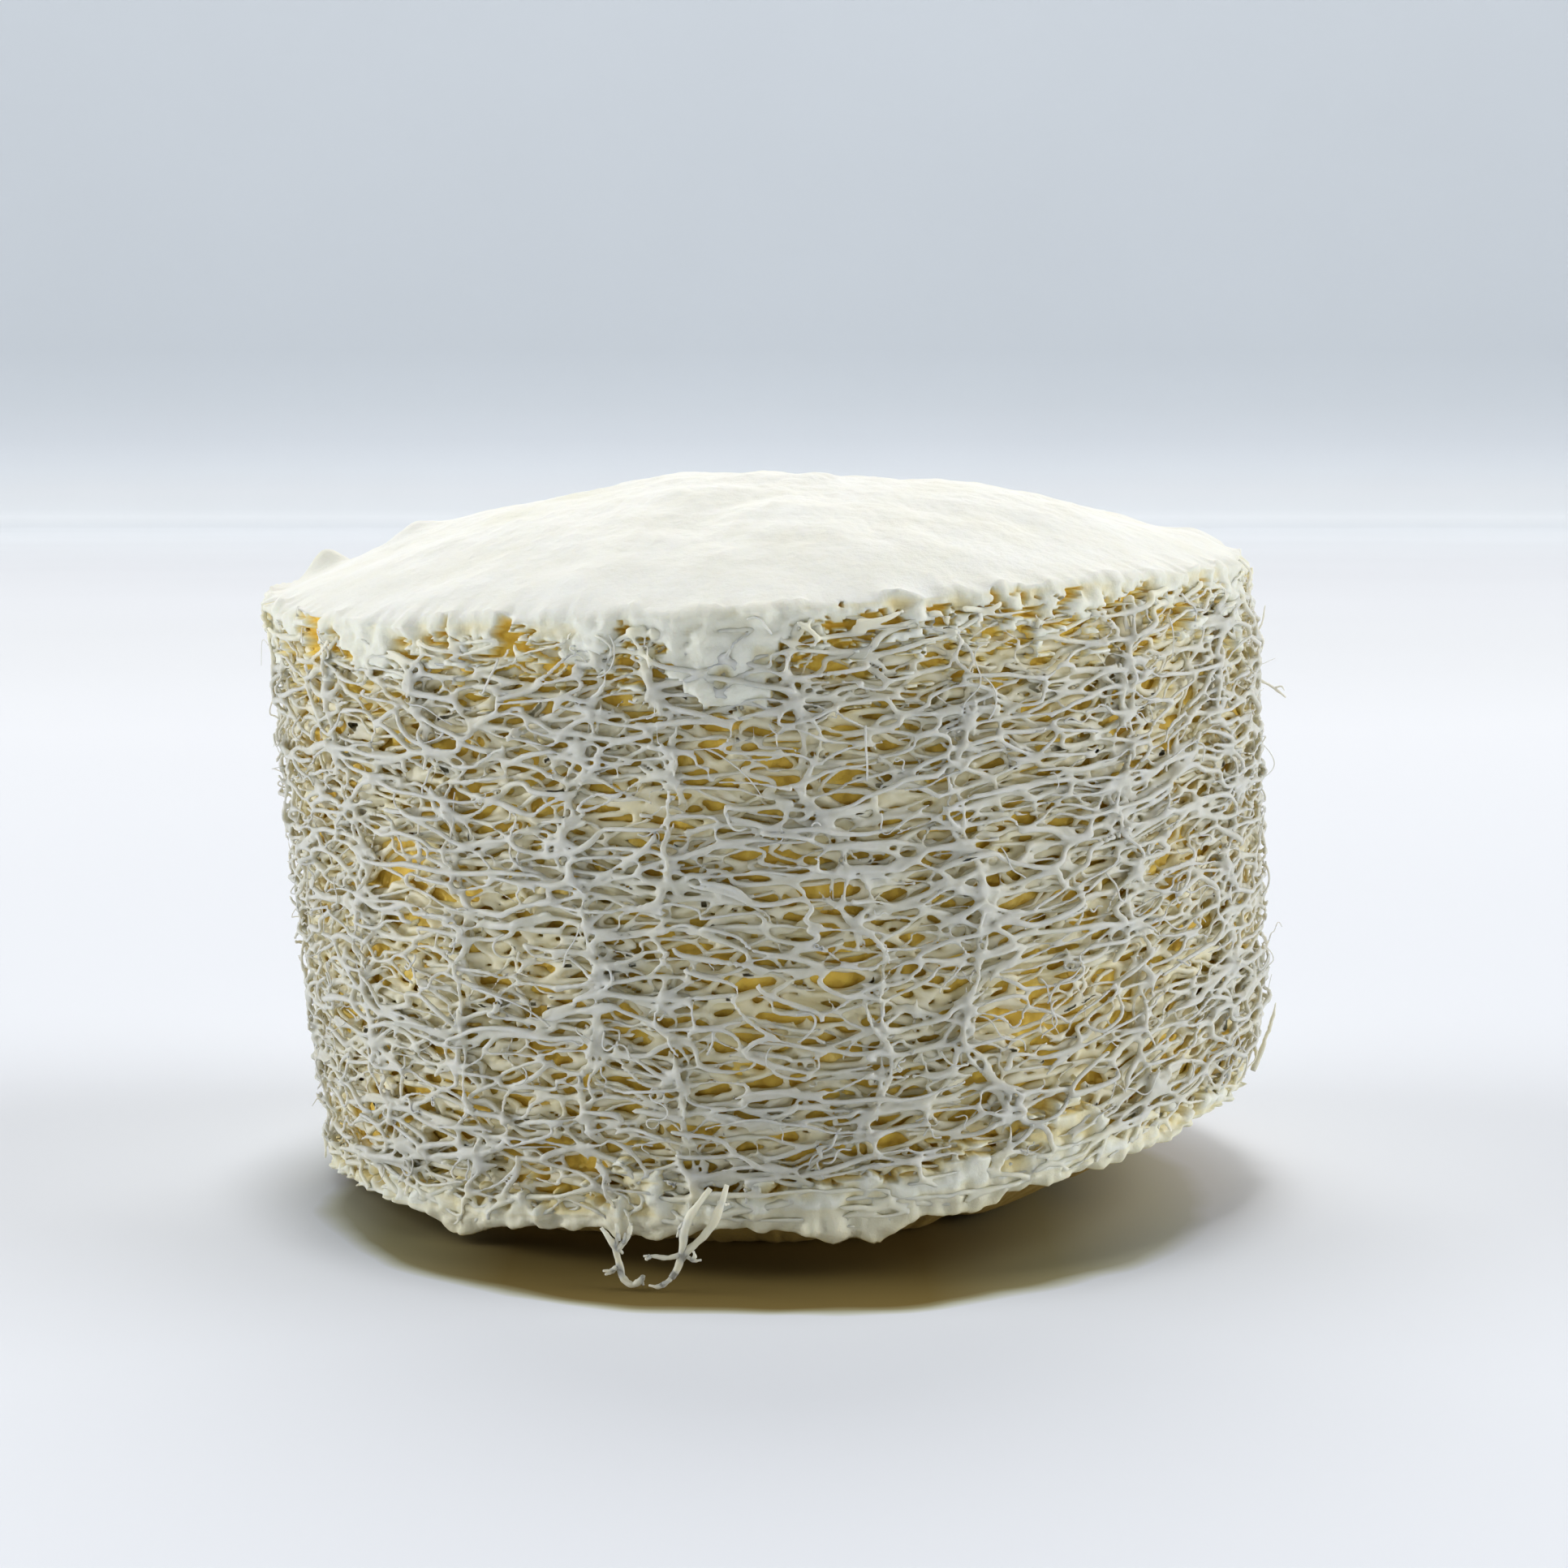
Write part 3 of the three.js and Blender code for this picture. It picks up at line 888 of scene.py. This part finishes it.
def dome_rings(rng, angle, u, top_edge):
    """Rings of points from the middle of the dome out to its rim."""
    large, medium, small, tiny = (Ripples(rng, size, 40) for size in (11, 4.5, 1.9, 0.8))
    rim_waves = 0.12 * Waves(rng, 7)(u, 0) + 0.08 * Waves(rng, 2.6)(u, 0)
    lift = swells(angle, RIM_LIFTS)
    rings = []
    for i in range(DOME_ROWS + 1):
        share = (i / DOME_ROWS) ** 0.9
        radius = (top_edge - 0.35) * share
        x, y = radius * np.cos(angle), radius * np.sin(angle)
        across = np.minimum(radius / (TOP_RADIUS - 0.6), 1)
        fade = 1 - across ** DOME_FULLNESS
        fine = 0.09 * large(x, y) + 0.05 * medium(x, y) + 0.018 * small(x, y) + 0.01 * tiny(x, y)
        fine = fine * np.minimum(1, 3 * (1 - across) + 0.3)
        z = WALL_HEIGHT + 0.75 + rim_waves * share ** 40 + lift * across ** 4
        z = z + DOME_HEIGHT * fade + dome_relief(x, y, fade) + fine
        rings.append(np.stack([x, y, z], 1))
    return rings


def side_rings(rng, angle, u):
    """Rings down the side: film, drips and flash stand out, and the rest lies behind the net."""
    levels = np.concatenate([
        np.linspace(WALL_HEIGHT + 0.4, WALL_HEIGHT - 6, 46),
        np.linspace(WALL_HEIGHT - 6.4, 4.6, 54),
        np.linspace(4.3, LIP_LEVEL, 32),
    ])
    u, v = np.meshgrid(u, levels)
    cover, drip = soap_cover(rng, u, v)
    flash = flash_cover(rng, u, v)
    lumps = Waves(rng, 3.4, 2.6, 24)(u, v)
    grain = Waves(rng, 1.3, 1.1, 24)(u, v)
    near_rim = 1 - ease((WALL_HEIGHT - v - 1.5) / 3)
    deep = 1.6 - 0.45 * near_rim + 0.13 * lumps + 0.05 * grain
    skin = 0.3 + 0.13 * lumps + 0.05 * grain - 0.1 * drip
    low_skin = 0.24 + 0.15 * lumps + 0.04 * grain
    depth = deep + (skin - deep) * cover
    depth = depth + (low_skin - depth) * flash
    open_skin = np.maximum(cover, flash)
    # Painted shade: the soap is coloured deeper ochre the further it lies behind the net, more still
    # near the rim where no film covers it, and a little yellower in the flash.
    painted_shade = depth / 2.1 + 0.3 * near_rim * (1 - open_skin) - 0.03 * near_rim + 0.07 * flash
    rings = []
    for level, row in zip(levels, depth):
        radius = outline_radius(angle, level) - row
        rings.append(np.stack([radius * np.cos(angle), radius * np.sin(angle), lifted(angle, level)], 1))
    return rings, list(np.clip(painted_shade, 0.08, DEEPEST_SHADE)), depth[-1]


def lip_rings(rng, angle, u, lip):
    """Rings round the flash's lower edge, which hangs down unevenly."""
    bumps = 0.07 * Waves(rng, 2.6, count=30)(u, 0) + 0.03 * np.abs(Waves(rng, 1.2, count=30)(u, 0))
    hang = bumps + LIP_LEVEL - flash_foot(u)
    waxy, knobs = Waves(rng, 3.2, 1.6, 24), Waves(rng, 1.3, 0.9, 24)
    rings = []
    for inset, drop, _ in FLASH_LIP:
        level = LIP_LEVEL - drop * np.maximum(hang, 0.05)
        bulging = (0.15 * waxy(u, level) + 0.03 * knobs(u, level)) * min(1, 3 * drop)
        radius = lip - inset + bulging
        rings.append(np.stack([radius * np.cos(angle), radius * np.sin(angle), level], 1))
    return rings, [np.full(AROUND, shade) for _, _, shade in FLASH_LIP]


def bulge_rings(rng, angle, lip, edge):
    """Rings from the flash to the middle of the bulge that the bar stands on."""
    knob = Ripples(rng, 5)
    rings = []
    for i in range(1, BULGE_ROWS + 1):
        across = 1 - i / BULGE_ROWS
        radius = (lip - FLASH_LIP[-1][0]) * across
        x, y = radius * np.cos(angle), radius * np.sin(angle)
        drop = (BULGE_DEPTH + 0.5) * (1 - across ** BULGE_FULLNESS)
        rough = 0.15 * knob(x, y) * min(1, 3 * (1 - across))
        rings.append(np.stack([x, y, edge * across ** 6 - drop + rough - 0.7 * (1 - across ** 6)], 1))
    # The whole bulge takes the ramp's dark brown: painted shade under the bar.
    return rings, [np.full(AROUND, BULGE_SHADE)] * BULGE_ROWS


def dome_shade(ring):
    """The faint stains along a ring of the dome."""
    total = 0
    for x, y, size in DOME_STAINS:
        total = total + np.exp(-((ring[:, 0] - x) ** 2 + (ring[:, 1] - y) ** 2) / size ** 2)
    return STAIN_SHADE * total


def soap_surface(rng):
    """Rings of points from the top of the dome to the middle of the bulge, and their recess value: the
    dome's stains, and painted shade behind the net and underneath.
    """
    angle = np.arange(AROUND) / AROUND * TURN - math.pi / 2
    u = np.arange(AROUND) / AROUND * GIRTH
    top_edge = outline_radius(angle, WALL_HEIGHT) + 0.15 * Waves(rng, 8)(u, 0)
    top_edge = top_edge + 0.07 * Waves(rng, 2)(u, 0) - 0.25
    dome = dome_rings(rng, angle, u, top_edge)
    side, side_shades, last_depth = side_rings(rng, angle, u)
    lip = outline_radius(angle, 0) - last_depth
    edge, edge_shades = lip_rings(rng, angle, u, lip)
    bulge, bulge_shades = bulge_rings(rng, angle, lip, edge[-1][:, 2])
    shades = [dome_shade(ring) for ring in dome] + side_shades + edge_shades + bulge_shades
    return np.stack(dome + side + edge + bulge), np.stack(shades)


def soap_map(count):
    """The soap laid flat: its dome, its underside, and its side in two halves."""
    row, column = np.mgrid[0:count - 1, 0:AROUND]
    ring = np.stack([row, row + 1, row + 1, row], 2).reshape(-1, 4)
    spoke = np.stack([column, column, column + 1, column + 1], 2).reshape(-1, 4)
    turn = spoke / AROUND * TURN
    discs = []
    for share, centre in ((ring / DOME_ROWS, 0.25), ((count - 1 - ring) / BULGE_ROWS, 0.75)):
        reach = 0.245 * np.clip(share, 0, 1)
        discs.append(np.stack([centre + reach * np.cos(turn), 0.75 + reach * np.sin(turn)], 2))
    half = spoke[:, :1] >= AROUND // 2
    across = (spoke - half * (AROUND // 2)) / (AROUND // 2)
    side_rows = count - 1 - DOME_ROWS - BULGE_ROWS
    up = 0.25 * half + 0.005 + 0.24 * (ring - DOME_ROWS) / side_rows
    side = np.stack([across, up], 2)
    row = ring[:, :1, None]
    return np.where(row < DOME_ROWS, discs[0], np.where(row < DOME_ROWS + side_rows, side, discs[1]))


def make_soap(material):
    """The soap as one closed skin, painted with how recessed it is, which its material turns into stains
    and painted shade.
    """
    rings, recess = soap_surface(np.random.default_rng(41))
    count = len(rings)
    place = settled(*np.moveaxis(rings, 2, 0), SHIFT)
    place[..., 2] = np.maximum(place[..., 2], 0.0)
    quads = sheet_quads(count, AROUND, ((0, 0), (1, 0), (1, 1), (0, 1)))
    soap = new_mesh("soap_body", place.reshape(-1, 3), [quads], material)
    bake_map(soap, soap_map(count))
    paint(soap, "recess", recess.ravel())
    return soap


# -------- camera, light and stage

# The lens in millimetres, and the eye's place from the middle of the bar's foot.
LENS = 66.77
SENSOR_WIDTH = 36
EYE_DISTANCE = 184.0
EYE_HEIGHT = 43.0
EYE_ASIDE = 1.25
LOOK_DOWN = math.radians(5.8)


def make_camera():
    """Looks along +Y at the bar, a little down."""
    data = bpy.data.cameras.new("camera")
    data.lens = LENS
    data.sensor_width = SENSOR_WIDTH
    data.clip_start = 0.01
    camera = put_in_scene("camera", data)
    camera.location = (EYE_ASIDE * MM, -EYE_DISTANCE * MM, EYE_HEIGHT * MM)
    camera.rotation_euler = (math.pi / 2 - LOOK_DOWN, 0, 0)
    bpy.context.scene.camera = camera


LAMP_DISTANCE = 0.6


def distant_light(name, azimuth, elevation, width, power, colour):
    """Even light from one direction: azimuth 0 is the camera's side, and width its softness."""
    data = bpy.data.lights.new(name, "SUN")
    data.energy = power
    data.color = colour
    data.angle = math.radians(width)
    light = put_in_scene(name, data)
    azimuth, elevation = math.radians(azimuth), math.radians(elevation)
    level = math.cos(elevation)
    towards = (level * math.sin(azimuth), -level * math.cos(azimuth), math.sin(elevation))
    light.location = [LAMP_DISTANCE * part for part in towards]
    light.rotation_euler = light.location.to_track_quat("Z", "Y").to_euler()


# Broad lamps: name, azimuth, elevation, width, power and colour.
LAMPS = (
    ("overhead", 180, 84, 12, 1.05, (1.0, 0.975, 0.95)),
    ("behind", 180, 38, 50, 1.65, (1.0, 0.97, 0.94)),
    ("left", -90, 30, 40, 1.15, (1.0, 0.985, 0.97)),
    ("right", 90, 30, 40, 1.55, (1.0, 0.985, 0.97)),
)

# Low lamps round the camera's side: azimuth and power.
LOW_FILLS = ((-92, 1.1), (-64, 0.4), (-32, 0.16), (0, 0.13), (30, 0.16), (58, 0.34), (88, 0.75))


def make_lights():
    """The broad lamps, the low fills, a strip lamp on the paper's upright part, and a dim room."""
    for lamp in LAMPS:
        distant_light(*lamp)
    for azimuth, power in LOW_FILLS:
        distant_light("low_fill", azimuth, 1.5, 4, power, (0.97, 0.98, 1.0))
    strip = bpy.data.lights.new("wall_lamp", "AREA")
    strip.shape = "RECTANGLE"
    strip.size = 4.0
    strip.size_y = 0.4
    strip.energy = 8.7
    wall_lamp = put_in_scene("wall_lamp", strip)
    wall_lamp.location = (0, 2.3, 1.2)
    wall_lamp.rotation_euler = (math.radians(48), 0, 0)
    world = bpy.data.worlds.new("studio")
    bpy.context.scene.world = world
    world.use_nodes = True
    sky = world.node_tree.nodes["Background"]
    sky.inputs["Color"].default_value = (0.80, 0.89, 1.0, 1)
    sky.inputs["Strength"].default_value = 0.10
    bpy.context.scene.view_settings.view_transform = "Standard"


# The painted shadow under the bar, a brown patch on the paper, in metres: its middle, its radius, and
# how soft and how wavy its edge is.
SHADOW_CENTRE = (0.0004, -0.0085, 0.0)
SHADOW_RADIUS = 0.0265
SHADOW_BLUR = 0.0008
SHADOW_WAVE = 0.0015

# The paper, in metres: where its level part starts and ends, its bend, and how high and wide it is.
FLOOR_START = -2.0
FLOOR_END = 3.0
SWEEP_RADIUS = 0.16
PAPER_TOP = 0.9
PAPER_HALF_WIDTH = 4


def painted_shadow(nodes, place, across):
    """How strongly the paper is painted with the bar's shadow: a round patch with an uneven edge, faded
    towards its sides.
    """
    beside = nodes.operate("VectorMath", "SUBTRACT", place, SHADOW_CENTRE)
    apart = nodes.operate("VectorMath", "LENGTH", beside)
    wobble = nodes.span(nodes.noise(scale=90, detail=2), 0.0, 1.0, -SHADOW_WAVE, SHADOW_WAVE)
    uneven = nodes.operate("Math", "ADD", apart, wobble)
    edge = nodes.span(uneven, SHADOW_RADIUS - SHADOW_BLUR, SHADOW_RADIUS + SHADOW_BLUR, 1.0, 0.0)
    right = nodes.span(across, 0.009, 0.030, 1.0, 0.0)
    left = nodes.span(across, -0.029, -0.014, 0.3, 1.0)
    return nodes.operate("Math", "MULTIPLY", nodes.operate("Math", "MULTIPLY", edge, right), left)


def paper_material():
    """Pale paper with a faint random grain; its grey is graded with distance and height as painted
    light, and a brown painted shadow lies where the bar stands.
    """
    nodes = Nodes("paper")
    grain = nodes.ramp(nodes.noise(scale=3, detail=2), ((0.3, (0.98, 0.98, 0.98)), (0.7, WHITE)))
    place = nodes.add("TexCoord").outputs["Object"]
    parts = nodes.add("SeparateXYZ", Vector=place).outputs
    # Painted light: the floor's grey rises and falls with distance, and the upright part darkens
    # upwards, as the light falls on them.
    floor_painted_light = nodes.ramp(nodes.span(parts["Y"], 0.0, FLOOR_END), (
        (0.0, (0.73, 0.765, 0.82)), (0.111, (0.77, 0.80, 0.845)), (0.174, (0.74, 0.77, 0.81)),
        (0.227, (0.725, 0.755, 0.795)), (0.31, (0.72, 0.75, 0.795)), (0.463, (0.69, 0.72, 0.765)),
        (0.7, (0.66, 0.695, 0.735)), (1.0, (0.72, 0.755, 0.79))))
    wall_painted_light = nodes.ramp(nodes.span(parts["Z"], 0.0, 0.2), (
        (0.0, (0.88, 0.91, 0.935)), (0.1, (0.825, 0.86, 0.89)), (0.2, (0.84, 0.87, 0.90)),
        (0.313, (0.82, 0.86, 0.90)), (0.408, (0.785, 0.825, 0.87)), (0.5, (0.745, 0.785, 0.83)),
        (0.685, (0.695, 0.735, 0.775)), (1.0, (0.64, 0.68, 0.72))))
    tone = nodes.mix(nodes.span(parts["Z"], 0.0, 0.012), floor_painted_light, wall_painted_light)
    tone = nodes.mix(1.0, tone, grain, "MULTIPLY")
    # Painted shadow: the paper is coloured olive, then dark brown, under the front of the bar.
    shadow_tone = nodes.ramp(painted_shadow(nodes, place, parts["X"]), (
        (0.0, WHITE), (0.3, (0.76, 0.745, 0.60)), (0.65, (0.42, 0.365, 0.19)),
        (1.0, (0.255, 0.175, 0.05))))
    nodes.set(Base_Color=nodes.mix(1.0, tone, shadow_tone, "MULTIPLY"), Roughness=0.9, Specular_IOR_Level=0.1)
    return nodes.material


def make_stage():
    """A sheet of pale paper that lies flat under the bar and turns up far behind it."""
    profile = [(FLOOR_START, 0.0), (FLOOR_END, 0.0)]
    for a in np.linspace(0.1, math.pi / 2, 16):
        profile.append((FLOOR_END + SWEEP_RADIUS * math.sin(a), SWEEP_RADIUS * (1 - math.cos(a))))
    profile.append((FLOOR_END + SWEEP_RADIUS, PAPER_TOP))
    points = [(x, y, z) for y, z in profile for x in (-PAPER_HALF_WIDTH, PAPER_HALF_WIDTH)]
    faces = [(2 * i, 2 * i + 1, 2 * i + 3, 2 * i + 2) for i in range(len(profile) - 1)]
    mesh = bpy.data.meshes.new("paper_sweep")
    mesh.from_pydata(points, [], faces)
    mesh.shade_smooth()
    mesh.materials.append(paper_material())
    put_in_scene("paper_sweep", mesh)


# -------- putting the bar together

# How far in the net's colour is deepest (deeper strands are painted lighter and yellower, as painted
# light), and how soaked with soap its top and bottom edges are.
DEEPEST = 2.4
EDGE_SOAKED = 0.85
HAIR_COUNT = 380


def net_piece(name, skin, material):
    """A piece of the net from its skin, painted with its depth and how soaked it is."""
    points, quads = skin
    u, v, w = points.T
    places = on_wall(u, v, w)
    piece = new_mesh(name, places, [quads], material)
    bake_map(piece, net_map(points, places, quads))
    paint(piece, "depth", np.clip(w / DEEPEST, 0, 1))
    ragged = 0.5 * np.sin(u * TURN / GIRTH * 23) + 0.4 * np.sin(u * TURN / GIRTH * 61 + 2)
    near_rim = ease((v - WALL_HEIGHT + 2.3 + ragged) / 1.6)
    near_base = ease((1.6 - v + 0.6 * ragged) / 1.2)
    paint(piece, "soaked_and_lit", EDGE_SOAKED * np.maximum(near_rim, near_base))
    return piece


make_camera()
make_lights()
make_stage()

fibre = fibre_material()
soap = make_soap(soap_material())
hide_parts("soap")
outer = net_piece("luffa_net_outer", outer_net(np.random.default_rng(7)), fibre)
net_piece("luffa_net_inner", inner_net(np.random.default_rng(8)), fibre)

rng = np.random.default_rng(19)
# The soaked colour is real on the net's edges; on the tufts it is painted light that lifts strands
# sitting in shade, and the right hairs take a little of it.
for name, soaked_and_lit, (points, *faces) in (
        ("loose_hairs", 0.0, loose_hairs(rng, HAIR_COUNT)),
        ("left_tuft", 0.8, tuft(rng, LEFT_TUFT)),
        ("right_tuft", 0.8, tuft(rng, RIGHT_TUFT)),
        ("right_hairs", 0.3, tuft(rng, RIGHT_HAIRS, spurs=0))):
    hair = new_mesh(name, points, faces, fibre)
    paint(hair, "soaked_and_lit", np.full(len(points), soaked_and_lit))
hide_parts("luffa_sponge")
